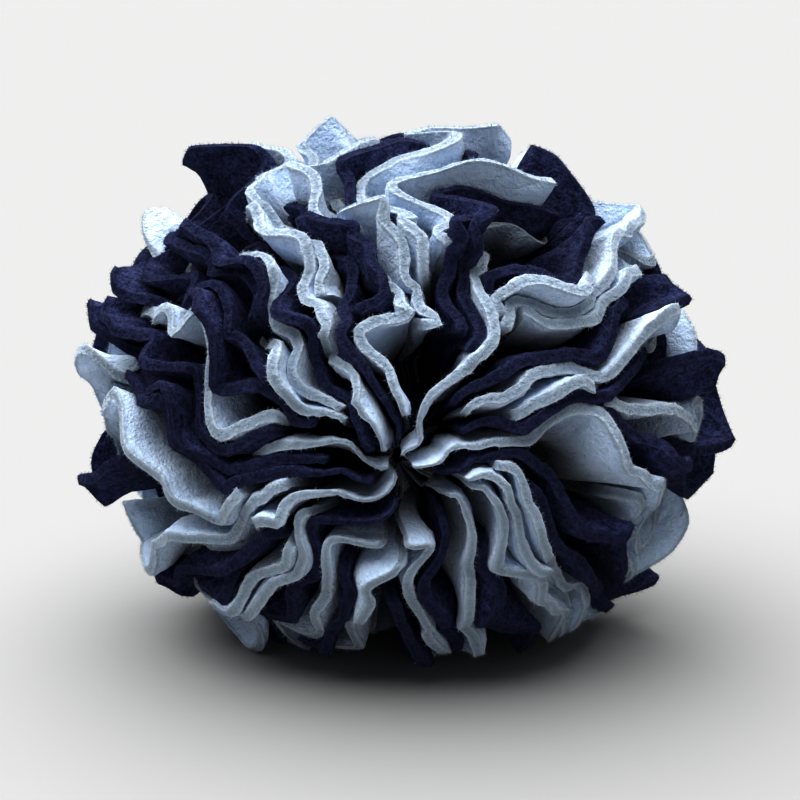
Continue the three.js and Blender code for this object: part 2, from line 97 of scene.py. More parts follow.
# One row for each square, in clockwise order from the bottom.
CUTS: tuple[Cut, ...] = (
    Cut(PALE, 0.6, ((22, -168), (48, -169), (60, -170), (75, -170.5), (88, -171)), solid=False, side=0.07),
    Cut(PALE, 1, ((19, -180), (21, -173), (25, -167.5), (34, -163.5))),
    Cut(NAVY, 1, ((22, -153), (29, -160), (37, -165), (42, -165), (48, -161), (60, -159))),
    Cut(PALE, 1, ((15, -172), (16, -148), (19, -139.5), (23, -143), (28, -147), (34, -151))),
    Cut(NAVY, 1, ((6, -165), (13, -138), (16, -128), (20, -131), (28, -138), (36, -141)), solid=False),
    Cut(PALE, 1, ((17, -124), (20, -128), (25, -131.5), (37, -137), (49, -138.5))),
    Cut(PALE, 1, ((25, -122), (30, -126), (36, -131), (42, -135.5), (48, -137.5)), solid=False),
    Cut(NAVY, 0.6, ((28, -124), (37, -127), (44, -130), (51, -132.5))),
    Cut(NAVY, 1, ((24, -119.5), (40, -123), (50, -124), (60, -123), (70, -123.5), (82, -126))),
    Cut(PALE, 1, ((3, -160), (7, -130), (9, -115), (11, -105), (14, -108), (18, -113.5), (25, -119.5))),
    Cut(PALE, 1, (
        (19, -99), (22, -106), (26, -111.5), (37, -117), (43, -115), (50, -112.5), (60, -117.5),
        (85, -124),
    )),
    Cut(NAVY, 0.6, ((40, -103), (56, -99), (62, -98), (70, -99.5), (80, -102))),
    Cut(PALE, 1, ((28, -104), (38, -111), (43, -109), (46, -101), (51, -95), (63, -84))),
    Cut(PALE, 0.6, ((50, -82), (64, -82.5), (72, -83), (80, -80), (90, -80.5), (98, -83))),
    Cut(NAVY, 1, (
        (6, -120), (12, -106), (16, -97), (21, -95), (31, -100), (34, -98), (37, -91), (45, -78),
    )),
    Cut(NAVY, 1, ((14, -90), (18, -86), (23, -89), (28, -93), (32, -91), (43, -74))),
    Cut(PALE, 1, ((2.5, -100), (8, -72), (13, -76), (19, -80.5))),
    Cut(NAVY, 0.8, ((56, -66), (62, -70), (68, -74), (73, -71.5), (76, -67)), solid=False),
    Cut(NAVY, 1, (
        (22, -76), (27, -82), (31, -85), (35, -82), (44, -72.5), (52, -73), (60, -72.5), (66, -71),
    )),
    Cut(PALE, 1, (
        (23, -67.5), (27, -77), (31, -81.5), (36, -76), (41, -66), (43, -58), (47, -52.5), (54, -52),
        (60, -62),
    )),
    Cut(NAVY, 0.6, ((50, -49), (60, -55), (66, -61), (72, -62.5), (76, -61))),
    Cut(NAVY, 1, ((17, -66), (21, -68), (30, -60), (37, -68), (40, -62), (46, -49))),
    Cut(NAVY, 1, ((28, -54), (35, -49.5), (39, -46), (46, -40.5), (51, -42), (61, -50))),
    Cut(PALE, 1, ((13, -49), (17, -54), (20, -59), (23.5, -55), (29, -46))),
    Cut(NAVY, 1, ((40, -41.5), (45, -39.5), (50, -40.5), (62, -47), (69, -49.3), (78, -49.5))),
    Cut(NAVY, 1, ((38, -38.5), (43, -36.5), (47, -35.8), (57, -42), (67, -46)), solid=False),
    Cut(PALE, 1, ((15.5, -41), (22.5, -48.5), (26, -45.5), (29, -39.5), (34, -35.5), (46, -33))),
    Cut(NAVY, 1, ((6, -22), (13, -33), (17, -37), (20, -38), (28, -30.5), (36, -32))),
    Cut(NAVY, 0.6, (
        (34, -31), (45, -31.5), (55, -34), (64, -36), (72, -39), (77, -38), (82, -28), (88, -20),
        (93, -19),
    ), proud=0.06),
    Cut(PALE, 1, ((27, -25.5), (32, -29), (37, -30), (42, -26.5), (48, -23.5), (55, -26), (66, -30))),
    Cut(PALE, 1, (
        (36, -27.5), (40, -25.5), (45, -20.5), (50, -17.5), (55, -18.5), (68, -27.5), (80, -29.5),
        (94, -31.5),
    )),
    Cut(PALE, 1, ((4, -46), (8, -38), (11, -28), (13, -22), (15, -26)), solid=False),
    Cut(NAVY, 1, (
        (7, -5), (12, -22), (17, -18), (22, -19), (31, -26), (36, -27.5), (40, -24), (46, -13.5),
    )),
    Cut(NAVY, 1, ((30, -17), (33, -8), (36, 0), (39, -5), (43, -11.5), (56, -15.5))),
    Cut(PALE, 1, ((53, -13), (58, -15.5), (62, -18.5), (67, -22.5), (72, -27))),
    Cut(PALE, 1, ((12, -12), (20, -7), (23, -14), (26, -19), (28, -14), (30, 0), (32, 10))),
    Cut(PALE, 1, ((30, 13), (34, 10), (38, 6), (41, -1), (45, -6.5), (54, -11.5))),
    Cut(NAVY, 1, ((52, -9.5), (58, -11.5), (64, -13.5), (69, -12.5), (74, -3))),
    Cut(PALE, 1, ((40, 10), (44, 4), (52, -6), (57, -7.5), (61, -6.8), (70, 0), (76, 12))),
    Cut(NAVY, 0.6, ((40, 1), (50, -2), (60, -5), (66, 2), (71, 12), (84, 14))),
    Cut(PALE, 1, ((45, 9), (50, 2.5), (55, -1.5), (60, -3.5), (64, -2), (67, 8), (74, 36))),
    Cut(NAVY, 1, ((30.5, 19), (34, 15), (38, 12.2), (42, 10.7), (49, 10))),
    Cut(NAVY, 1, ((28, 31), (40, 20), (44, 15.5), (47, 13.5), (50, 13.5), (53, 17))),
    Cut(PALE, 1, ((2.5, 0), (6, 8), (12, 13), (19, 28), (24, 33.5), (28, 32), (32, 29.5), (37, 27))),
    Cut(NAVY, 0.6, ((60, 26), (66, 32), (71, 37), (84, 41.5), (90, 43))),
    Cut(NAVY, 1, ((40, 21), (44, 29), (45.5, 35), (48, 41), (52, 44), (58, 44.3), (67, 41))),
    Cut(PALE, 1, ((36, 29), (41, 32.5), (43, 37), (46, 43), (49, 47))),
    Cut(PALE, 1, (
        (34, 31), (37.5, 32), (40, 36), (42, 42), (45, 48), (48, 51), (54, 51.3), (70, 48), (92, 50),
    )),
    Cut(PALE, 1, ((38, 40), (42, 49), (46, 54), (51, 55.8), (62, 53.5), (70, 56))),
    Cut(NAVY, 1, ((15, 42), (26, 50), (36, 59), (41, 62.5), (45, 63), (52, 57.5))),
    Cut(NAVY, 0.6, ((50, 57.5), (56, 60.5), (61, 63), (68, 66.5), (76, 67.5))),
    Cut(PALE, 1, (
        (15, 46), (21, 57.5), (24, 56), (28, 52.5), (31, 54), (38, 64), (42, 67), (48, 67.5), (59, 64.5),
    )),
    Cut(PALE, 1, ((21, 59), (25, 62), (28, 64.8), (33, 66), (38, 68)), solid=False),
    Cut(NAVY, 1, ((13, 62), (17, 63), (26, 70), (32, 69.5), (41, 72))),
    Cut(NAVY, 0.8, ((54, 73), (60, 75), (65, 77), (68, 78)), solid=False),
    Cut(PALE, 1, ((41, 75), (44, 78.5), (53, 82.5), (58, 85), (66, 91))),
    Cut(NAVY, 0.6, ((50, 88), (56, 90), (62, 92.5), (70, 95.5), (80, 97.3), (92, 99))),
    Cut(NAVY, 1, ((38, 72), (41, 79), (44, 84.5), (48, 89), (51, 94), (55, 97))),
    Cut(NAVY, 0.8, (
        (46, 99), (52, 98), (58, 98.5), (64, 101), (72, 103.5), (82, 106), (95, 108),
    ), solid=False),
    Cut(PALE, 1, (
        (2, 80), (9, 55), (12, 66), (20, 75), (23, 76), (27, 73), (31, 72), (35, 74), (37, 80), (39, 90),
        (46, 100),
    )),
    Cut(PALE, 1, (
        (46, 101.5), (49, 104), (52, 111), (56, 117), (62, 121), (70, 124), (80, 126.5), (94, 129.5),
    )),
    Cut(NAVY, 1, ((5, 95), (15, 82), (20, 87), (24, 92), (28, 98), (32, 107), (37, 113), (43, 114.5))),
    Cut(NAVY, 0.8, (
        (48, 118), (52, 121.5), (56, 126), (62, 129), (70, 131.5), (80, 132.7), (92, 131.5),
    ), solid=False),
    Cut(NAVY, 1, ((24, 104), (28, 113), (38, 122), (50, 127), (64, 131.7), (86, 135), (98, 136.5))),
    Cut(PALE, 1, ((15, 87), (19, 93), (21.5, 102), (24, 109), (27, 115)), solid=False),
    Cut(PALE, 1, (
        (10, 85), (14, 89), (18, 94), (21.5, 112), (24, 119), (28, 124), (39, 131), (49, 136), (66, 143),
        (92, 144),
    )),
    Cut(PALE, 1, ((11, 92), (16, 98), (19.5, 108), (22, 120), (27, 139))),
    Cut(PALE, 0.9, (
        (42, 136.5), (48, 139), (54, 142), (62, 145), (72, 147), (84, 148.5), (94, 147.5),
    ), solid=False),
    Cut(NAVY, 1, ((22, 133), (27, 141), (37, 151), (42, 152.5), (52, 148), (66, 150.5), (92, 151))),
    Cut(PALE, 1, (
        (9, 110), (18, 132), (25, 148), (30, 154), (38, 156.5), (46, 158.5), (62, 165.5), (80, 166.5),
        (90, 163),
    )),
    Cut(NAVY, 1, (
        (12, 140), (16, 150), (20, 160), (24, 169), (28, 172), (31, 168), (36, 163), (44, 164),
    ), solid=False),
    Cut(PALE, 1, (
        (13, 180), (14.5, 166), (17, 168), (20, 174.5), (24, 176.5), (28, 175), (37, 167.5), (48, 169.5),
        (66, 172.5), (90, 171),
    )),
    Cut(NAVY, 1, ((29, 184), (33, 181), (37, 178), (45, 176.5), (70, 176.5), (95, 177))),
)


def rounding_profile(distance: np.ndarray, radius: float, blunt: float) -> np.ndarray:
    """How much of its full thickness the cloth has near a cut edge.

    Args:
        distance: how far in from the edge, in mm.
        radius: how far in the cloth reaches its full thickness, in mm.
        blunt: the share of the thickness that the edge itself keeps.

    Returns:
        The share at each distance.
    """
    inward = np.clip(distance / radius, 0.0, 1.0)
    return blunt + (1.0 - blunt) * np.sqrt(1.0 - (1.0 - inward) ** 2)


def smoothstep(value: np.ndarray | float, low: float, high: float) -> np.ndarray:
    """A smooth step from 0 at low to 1 at high."""
    share = np.clip((np.asarray(value, float) - low) / (high - low), 0.0, 1.0)
    return share * share * (3.0 - 2.0 * share)


def add_object(name: str, data: bpy.types.ID) -> bpy.types.Object:
    """Puts new data into the scene.

    Args:
        name: the object's name.
        data: its mesh, light or camera.

    Returns:
        The new object.
    """
    made = bpy.data.objects.new(name, data)
    bpy.context.scene.collection.objects.link(made)
    return made


def add_marks(mesh: bpy.types.Mesh, marks: dict[str, np.ndarray]) -> None:
    """Gives a mesh its point attributes.

    Args:
        mesh: the mesh.
        marks: a value for each of its points, by attribute name.
    """
    for name, values in marks.items():
        attribute = mesh.attributes.new(name, "FLOAT", "POINT")
        attribute.data.foreach_set("value", values.astype(np.float32))


@dataclass(frozen=True)
class Globe:
    """The form the ball fills, in mm."""

    half_width: float = 78.0
    crown_height: float = 66.5
    belly_depth: float = 69.0
    axis_height: float = 61.0
    half_length: float = 56.0
    floor_sharpness: float = 20.0

    def reach(self, clock: np.ndarray, spread: np.ndarray) -> np.ndarray:
        """Distance from the axis at a clock angle, flattened where the ball meets the ground.

        Args:
            clock: clock angles in degrees.
            spread: shares of the way out from the axis to the rim.

        Returns:
            Distances in mm.
        """
        turn = np.radians(clock)
        rise = np.cos(turn)
        height = np.where(rise > 0, self.crown_height, self.belly_depth)
        oval = spread / np.hypot(np.sin(turn) / self.half_width, rise / height)
        ground = oval * np.maximum(-rise, 0.0) / self.axis_height
        return oval / (1.0 + ground**self.floor_sharpness) ** (1.0 / self.floor_sharpness)

    def point(self, clock: np.ndarray, fall: np.ndarray, depth: np.ndarray) -> np.ndarray:
        """Points of the ball, in mm.

        Args:
            clock: clock angles in degrees.
            fall: falls in degrees.
            depth: shares of the way out from the ball's middle to its face.

        Returns:
            An array with x, y and z in its last place.
        """
        steep = np.radians(fall)
        out = self.reach(clock, depth * np.sin(steep))
        turn = np.radians(clock)
        along = np.broadcast_to(-self.half_length * depth * np.cos(steep), np.shape(out))
        return np.stack((out * np.sin(turn), along, self.axis_height + out * np.cos(turn)), axis=-1)


@dataclass
class Layering:
    """Settles all the squares' edges beside each other, station by station from pole to pole."""

    cuts: tuple[Cut, ...]
    globe: Globe
    # The stations, in degrees of fall, and how the courses settle at them.
    step: float = 1.0
    rounds: int = 8
    settling_step: float = 0.6
    steepest: float = 1.7
    slope_blur: int = 4
    # The room a layer takes where its edge shows, where it is further in and where it is absent.
    layer_pitch: float = 3.25
    hidden_pitch: float = 2.3
    absent_pitch: float = 0.12
    cloth_room: float = 3.0
    least_kept: float = 0.45
    kept_blur: int = 3
    # How much a course counts where its edge does not show.
    hidden_weight: float = 0.15
    tucked_weight: float = 0.02
    absent_tie_weight: float = 0.05
    # How far a cut edge runs on out of sight, in degrees.
    tucked_reach: float = 24.0
    least_reach: float = 1.0
    nearest_pole: float = 1.6
    # The back corners, in degrees, and where a course passes into its mirrored twin.
    side: float = 77.0
    nearest_inner_back: float = 12.0
    first_outer_back: float = 104.0
    shortest_back_edge: float = 16.0
    front_leaves: float = 84.0
    back_joins: float = 96.0
    back_blur: float = 6.0
    # The folds that show, and the ruffles round the rim.
    fold_gain: float = 0.9
    fold_blur: int = 60
    spread_rounds: int = 40
    spread_step: float = 0.5
    spread_lead: float = 14.0
    ruffle_height: float = 6.0
    ruffle_length: float = 27.0
    ruffle_lead: float = 12.0
    ruffle_drift: float = 1.3
    drift_waves: tuple[Pair, ...] = ((2.0, 0.6), (5.0, 0.0))
    # The tie that gathers the squares.
    tie_radius: float = 13.0
    pole_radius: float = 1.4
    tie_pitch: float = 1.15
    tie_draw: float = 0.5
    widest_tie: float = 0.8
    crowd_blur: int = 8
    tie_blur: int = 4
    stations: np.ndarray = field(init=False)
    courses: np.ndarray = field(init=False)
    kept: np.ndarray = field(init=False)
    tie_depth: np.ndarray = field(init=False)
    tie_clocks: np.ndarray = field(init=False)

    def __post_init__(self) -> None:
        """Works everything out once."""
        self.stations = np.arange(self.step, 180.0, self.step)
        self.courses = self._settle()
        self.kept = self._squeeze()
        self.tie_depth, self.tie_clocks = self._gather()

    def twin(self, index: int) -> Cut:
        """The square on the other side of the list, whose front edge is this one's back edge."""
        return self.cuts[len(self.cuts) - 1 - index]

    def corners(self, index: int) -> tuple[float, float, float, float]:
        """Where a square's corners lie.

        Args:
            index: the square's place in the list.

        Returns:
            The falls of its inner front, outer front, outer back and inner back corners.
        """
        own, twin = self.cuts[index].folds, self.twin(index).folds
        inner_back = 180.0 - max(twin[0][0], self.nearest_inner_back)
        outer_back = max(own[-1][0] + self.side, self.first_outer_back)
        outer_back = min(outer_back, inner_back - self.shortest_back_edge)
        return own[0][0], own[-1][0], outer_back, inner_back

    def root(self, first: float) -> float:
        """The fall at which a cut edge ends, tucked away between its neighbours.

        Args:
            first: the fall at which the edge comes into sight.

        Returns:
            The fall of its hidden end.
        """
        return min(max(first - self.tucked_reach, self.nearest_pole), first - self.least_reach)

    def ends(self, index: int) -> Pair:
        """The falls of a square's hidden front and back ends."""
        front, _, _, back = self.corners(index)
        return self.root(front), 180.0 - self.root(180.0 - back)

    def _plain(self, index: int) -> np.ndarray:
        """The course a square would take alone, its back half the mirrored front half of its twin.

        Args:
            index: the square's place in the list.

        Returns:
            The clock angle at each station.
        """
        own, twin = np.array(self.cuts[index].folds), np.array(self.twin(index).folds)
        front = np.interp(self.stations, own[:, 0], own[:, 1])
        behind = sum(
            -np.interp(180.0 - self.stations + shift * self.back_blur, twin[:, 0], twin[:, 1])
            for shift in (-1, 0, 1)
        )
        leaves = min(own[-1, 0], self.front_leaves)
        joins = max(180.0 - twin[-1, 0], self.back_joins)
        share = smoothstep(self.stations, leaves, joins)
        return front + (behind / 3.0 - front) * share

    def _hidden(self, index: int, lead: float) -> np.ndarray:
        """How much of a square's edge is out of sight.

        Args:
            index: the square's place in the list.
            lead: over how many degrees it leaves the face.

        Returns:
            The share at each station.
        """
        _, outer_front, outer_back, _ = self.corners(index)
        leaving = smoothstep(self.stations, outer_front, outer_front + lead)
        return leaving * smoothstep(180.0 - self.stations, 180.0 - outer_back, 180.0 - outer_back + lead)

    def _ruffled(self, plain: np.ndarray) -> np.ndarray:
        """The courses with their sides spread evenly round the rim and thrown into ruffles.

        Args:
            plain: the courses the squares would take alone.

        Returns:
            The courses wanted.
        """
        blurred = self._soften(plain, self.fold_blur)
        shown = plain + self.fold_gain * (plain - blurred)
        hidden = np.array([self._hidden(index, self.spread_lead) for index in range(len(self.cuts))])
        wanted = plain
        for _ in range(self.spread_rounds):
            before = np.vstack((wanted[-1:] - 360.0, wanted[:-1]))
            after = np.vstack((wanted[1:], wanted[:1] + 360.0))
            wanted = wanted + self.spread_step * hidden * ((before + after) / 2.0 - wanted)
        wanted = wanted + (shown - plain) * (1.0 - hidden)
        free = np.array([self._hidden(index, self.ruffle_lead) for index in range(len(self.cuts))])
        turn = np.radians(wanted)
        phase = self.stations * (2.0 * math.pi / self.ruffle_length)
        drift = sum(np.sin(count * turn + start) for count, start in self.drift_waves)
        phase = phase + self.ruffle_drift * drift
        return wanted + self.ruffle_height * free * np.sin(phase)

    def _presence(self) -> np.ndarray:
        """How far each square reaches.

        Returns:
            For each square and station: 1 where its edge shows, less where it is further in, and 0
            beyond its ends.
        """
        found = np.zeros((len(self.cuts), len(self.stations)))
        for index in range(len(self.cuts)):
            inner_front, outer_front, outer_back, inner_back = self.corners(index)
            front_end, back_end = self.ends(index)
            here = (self.stations >= front_end) & (self.stations <= back_end)
            inside = (self.stations >= inner_front) & (self.stations <= inner_back)
            shows = (self.stations <= outer_front) | (self.stations >= outer_back)
            found[index] = np.where(inside, np.where(shows, 1.0, self.hidden_weight), 0.0)
            found[index] = np.where(here & ~inside, self.tucked_weight, found[index])
        return found

    @staticmethod
    def make_room(wanted: np.ndarray, rooms: np.ndarray, weights: np.ndarray) -> np.ndarray:
        """The nearest clock angles to those wanted that keep each layer its room from the next.

        Args:
            wanted: clock angles in degrees.
            rooms: the least angle from each layer to the next.
            weights: how much each layer's own wish counts.

        Returns:
            The settled clock angles.
        """
        raised = np.concatenate(([0.0], np.cumsum(rooms[:-1])))
        pools: list[list[float]] = []
        for value, weight in zip(wanted - raised, weights):
            pools.append([value * weight, weight, 1])
            while len(pools) > 1 and pools[-2][0] / pools[-2][1] > pools[-1][0] / pools[-1][1]:
                total, heft, size = pools.pop()
                pools[-1][0] += total
                pools[-1][1] += heft
                pools[-1][2] += size
        level = np.concatenate([np.full(int(size), total / heft) for total, heft, size in pools])
        return level + raised

    @staticmethod
    def _soften(rows: np.ndarray, times: int = 1) -> np.ndarray:
        """Blurs rows along their stations.

        Args:
            rows: a row of values for each square.
            times: how often.

        Returns:
            The blurred rows.
        """
        for _ in range(times):
            padded = np.pad(rows, ((0, 0), (1, 1)), mode="edge")
            rows = (padded[:, :-2] + 2.0 * padded[:, 1:-1] + padded[:, 2:]) / 4.0
        return rows

    def _settle(self) -> np.ndarray:
        """Settles all the courses beside each other.

        Returns:
            The clock angle of each square at each station.
        """
        plain = self._soften(np.array([self._plain(index) for index in range(len(self.cuts))]))
        plain = self._ruffled(plain)
        presence = self._presence()
        shows = presence >= 1.0
        pitches = np.where(presence >= self.hidden_weight, self.hidden_pitch, self.absent_pitch)
        pitches = np.where(shows, self.layer_pitch, pitches)
        pitches = (pitches + np.roll(pitches, -1, axis=0)) / 2.0
        weights = np.maximum(presence, self.tucked_weight)
        spread = np.sin(np.radians(self.stations))
        settled = plain
        for _ in range(self.rounds):
            slope = np.where(shows, np.abs(np.gradient(settled, self.step, axis=1)) * spread, 0.0)
            slope = np.maximum(slope, np.roll(slope, -1, axis=0))
            slope = np.minimum(self._soften(slope, self.slope_blur), self.steepest)
            room = np.degrees(pitches * np.hypot(1.0, slope) / self.globe.reach(settled, spread))
            fresh = np.stack([self.make_room(*at) for at in zip(plain.T, room.T, weights.T)], axis=1)
            settled = self._soften(settled + (fresh - settled) * self.settling_step)
        return settled

    def _squeeze(self) -> np.ndarray:
        """Presses each square between its neighbours.

        Returns:
            The share of its thickness that each square keeps at each station.
        """
        here = self._presence() >= self.hidden_weight
        steep = np.radians(self.stations)
        across = self.globe.half_width * np.sin(steep)
        span = np.hypot(self.globe.half_width * np.cos(steep), self.globe.half_length * np.sin(steep))
        lean = np.gradient(self.courses, self.step, axis=1) * (across / span)
        kept = np.ones_like(self.courses)
        for at in range(len(self.stations)):
            rows = np.flatnonzero(here[:, at])
            clocks = self.courses[rows, at]
            reach = self.globe.reach(clocks, np.sin(steep[at]))
            gap = np.radians((np.roll(clocks, -1) - clocks) % 360.0) * reach
            shared = (lean[rows, at] + np.roll(lean[rows, at], -1)) / 2.0
            clear = gap / np.hypot(1.0, shared) / self.cloth_room
            kept[rows, at] = np.minimum(clear, np.roll(clear, 1))
        return self._soften(np.clip(kept, self.least_kept, 1.0), self.kept_blur)

    def _gather(self) -> tuple[np.ndarray, np.ndarray]:
        """Finds where the squares leave the tie.

        Returns:
            How far out at each station, and the clock angle of each square there.
        """
        here = self._presence() > 0
        spread = np.sin(np.radians(self.stations))
        crowd = self._soften(here.mean(axis=0)[None], self.crowd_blur)[0]
        radius = np.maximum(self.tie_radius * crowd, self.pole_radius)
        radius = np.minimum(radius, self.widest_tie * self.globe.half_width * spread)
        depth = radius / self.globe.half_width / spread
        hub = self.tie_radius / self.globe.half_width
        count = len(self.cuts)
        even = 360.0 * (np.arange(count) + 0.5) / count - 180.0
        drawn = even + (self.courses.mean(axis=1) - even) * self.tie_draw
        clocks = np.empty_like(self.courses)
        for at in range(len(self.stations)):
            share = min(max((depth[at] - hub) / (1.0 - hub), 0.0), 1.0)
            wanted = drawn + (self.courses[:, at] - drawn) * share
            pitch = np.where(here[:, at], self.tie_pitch, self.absent_pitch)
            rooms = np.degrees((pitch + np.roll(pitch, -1)) / 2.0 / radius[at])
            weights = np.where(here[:, at], 1.0, self.absent_tie_weight)
            settled = self.make_room(wanted, rooms, weights)
            span = settled[-1] - settled[0] + rooms[-1]
            middle = (settled[-1] + settled[0]) / 2.0
            clocks[:, at] = middle + (settled - middle) * min(1.0, 360.0 / span)
        return depth, self._soften(clocks, self.tie_blur)


@dataclass
class Ripple:
    """Smooth unevenness in space: a few waves in chance directions."""

    wavelength: float
    seed: int
    waves: int = 9
    lengths: Pair = (0.7, 1.5)
    _ways: np.ndarray = field(init=False)
    _starts: np.ndarray = field(init=False)

    def __post_init__(self) -> None:
        """Draws the waves once."""
        chance = np.random.default_rng(self.seed)
        ways = chance.normal(size=(self.waves, 3))
        ways /= np.linalg.norm(ways, axis=1, keepdims=True)
        lengths = self.wavelength * chance.uniform(*self.lengths, (self.waves, 1))
        self._ways = ways * 2.0 * math.pi / lengths
        self._starts = chance.uniform(0.0, 2.0 * math.pi, self.waves)

    def at(self, points: np.ndarray) -> np.ndarray:
        """The unevenness at points in mm, from about -1 to 1."""
        return np.sin(points @ self._ways.T + self._starts).sum(axis=-1) / math.sqrt(self.waves)


@dataclass
class FleeceSquare:
    """One square of fleece as it stands in the ball."""

    index: int
    cut: Cut
    name: str
    layering: Layering
    globe: Globe
    # The sheet and its grid.
    thickness: float = 2.9
    tie_thickness: float = 0.8
    thickens: Pair = (8.0, 34.0)
    cell: float = 1.5
    fewest: int = 8
    falls_tried: int = 400
    edge_steps: tuple[float, ...] = (0.0, 0.12, 0.4, 0.9)
    rows_in: tuple[float, ...] = (
        0.0, 0.12, 0.4, 0.9, 2.0, 3.6, 5.6, 8.0, 11.0, 14.5, 18.5, 23.0, 28.0, 34.0, 41.0, 49.0, 58.0,
    )
    least_flap: float = 0.4
    # The blunt cut edge.
    edge_radius: float = 0.45
    edge_blunt: float = 0.86
    edge_bulge: float = 0.10
    # The edge between the outer corners, fuller towards the ground.
    widest_chord: float = 80.0
    near_ground: Pair = (105.0, 145.0)
    ground_fill: float = 0.85
    # The outer corners, which stand out except near the ground.
    corner_reach: Pair = (0.0, 0.09)
    corner_length: float = 12.0
    corner_point: float = 1.3
    corners_end: Pair = (125.0, 150.0)
    corner_seed: int = 500
    # The ends tucked away between the neighbours.
    tucked_drop: float = 0.40
    tucked_slope: float = 0.010
    tucked_thickness: float = 0.7
    tucked_lead: float = 2.2
    # painted shade: how far the depth mark, and so the colour, drops at the tucked ends, and over which
    # falls
    tucked_shade: float = 0.5
    shade_lead: Pair = (0.3, 2.0)
    free_lead: float = 7.0
    # Unevenness of the cut edge, the cloth and its surface.
    edge_waves: tuple[float, ...] = (2.0, 3.7, 6.1)
    edge_wave_height: Pair = (0.006, 0.020)
    edge_wave_start: float = 6.3
    edge_seed: int = 1000
    ripple_height: float = 0.35
    sway_height: float = 1.5
    nap_height: float = 0.16
    # What the material and the fuzz read near the cut edge.
    border_width: float = 0.9
    rim_width: Pair = (0.1, 1.1)
    middle_border: float = 0.1
    rim_fringe: float = 0.25
    fringe_depth: Pair = (0.8, 0.9)
    cloth: tuple[np.ndarray, np.ndarray, dict[str, np.ndarray]] = field(init=False)

    def _clock(self, fall: np.ndarray | float) -> np.ndarray | float:
        """The clock angle of the cut edge."""
        return np.interp(fall, self.layering.stations, self.layering.courses[self.index])

    def _down(self, fall: np.ndarray | float, start: float, end: float) -> np.ndarray | float:
        """How far the cut edge is turned to the ground, from 0 to 1 between two clock angles."""
        return smoothstep(np.abs((self._clock(fall) + 180.0) % 360.0 - 180.0), start, end)

    def _falls(self) -> np.ndarray:
        """Places the rows of the grid along the cut edge.

        Returns:
            Their falls, evenly spaced over the cloth and closer at both ends.
        """
        fine = np.linspace(*self.layering.ends(self.index), self.falls_tried)
        line = self.globe.point(self._clock(fine), fine, self._edge_depth(fine))
        along = np.concatenate(([0.0], np.cumsum(np.linalg.norm(np.diff(line, axis=0), axis=1))))
        steps = np.array(self.edge_steps)
        cells = max(int(along[-1] / self.cell), self.fewest)
        inner = np.linspace(steps[-1], along[-1] - steps[-1], cells)
        wanted = np.concatenate((steps[:-1], inner, along[-1] - steps[:-1][::-1]))
        falls = np.interp(wanted, along, fine)
        for corner in self.layering.corners(self.index)[1:3]:
            falls[np.argmin(np.abs(falls - corner))] = corner
        return falls

    def _edge_depth(self, fall: np.ndarray) -> np.ndarray:
        """How far out the cut edge lies.

        Args:
            fall: falls in degrees.

        Returns:
            Shares of the way out to the ball's face.
        """
        first, outer_front, outer_back, last = self.layering.corners(self.index)
        rising = self.cut.sunk + (1.0 - self.cut.sunk) * smoothstep(fall, first, outer_front)
        half = (outer_back - outer_front) / 2.0
        across = np.clip(fall - (outer_front + outer_back) / 2.0, -self.widest_chord, self.widest_chord)
        chord = math.cos(math.radians(half)) / np.cos(np.radians(across))
        chord = chord + (1.0 - chord) * self.ground_fill * self._down(fall, *self.near_ground)
        depth = np.where(fall <= outer_front, rising, np.where(fall >= outer_back, 1.0, chord))
        depth = depth * (1.0 + self._proud(fall, outer_front, outer_back))
        tucked = np.maximum(np.maximum(first - fall, fall - last), 0.0)
        depth = depth - self.tucked_drop * smoothstep(tucked, 0.0, self.tucked_lead)
        depth = depth - self.tucked_slope * tucked
        chance = np.random.default_rng(self.edge_seed + self.index)
        for waves in self.edge_waves:
            size = chance.uniform(*self.edge_wave_height)
            start = chance.uniform(0.0, self.edge_wave_start)
            depth = depth + size * np.sin(np.radians(fall) * waves * 2.0 + start)
        return depth

    def _proud(self, fall: np.ndarray, outer_front: float, outer_back: float) -> np.ndarray:
        """How far the cut edge stands out of the ball's face towards its outer corners.

        Args:
            fall: falls in degrees.
            outer_front: the fall of the outer front corner.
            outer_back: the fall of the outer back corner.

        Returns:
            Shares of the way out to the face.
        """
        chance = np.random.default_rng(self.corner_seed + self.index)
        proud = []
        for corner in (outer_front, outer_back):
            clear = 1.0 - self._down(corner, *self.corners_end)
            proud.append((chance.uniform(*self.corner_reach) + self.cut.proud) * clear)
        before = np.clip((fall - outer_front) / self.corner_length + 1.0, 0.0, 1.0)
        behind = np.clip((outer_back - fall) / self.corner_length + 1.0, 0.0, 1.0)
        between = np.interp(fall, (outer_front, outer_back), proud)
        before = proud[0] * before**self.corner_point
        behind = proud[1] * behind**self.corner_point
        return np.where(fall <= outer_front, before, np.where(fall >= outer_back, behind, between))

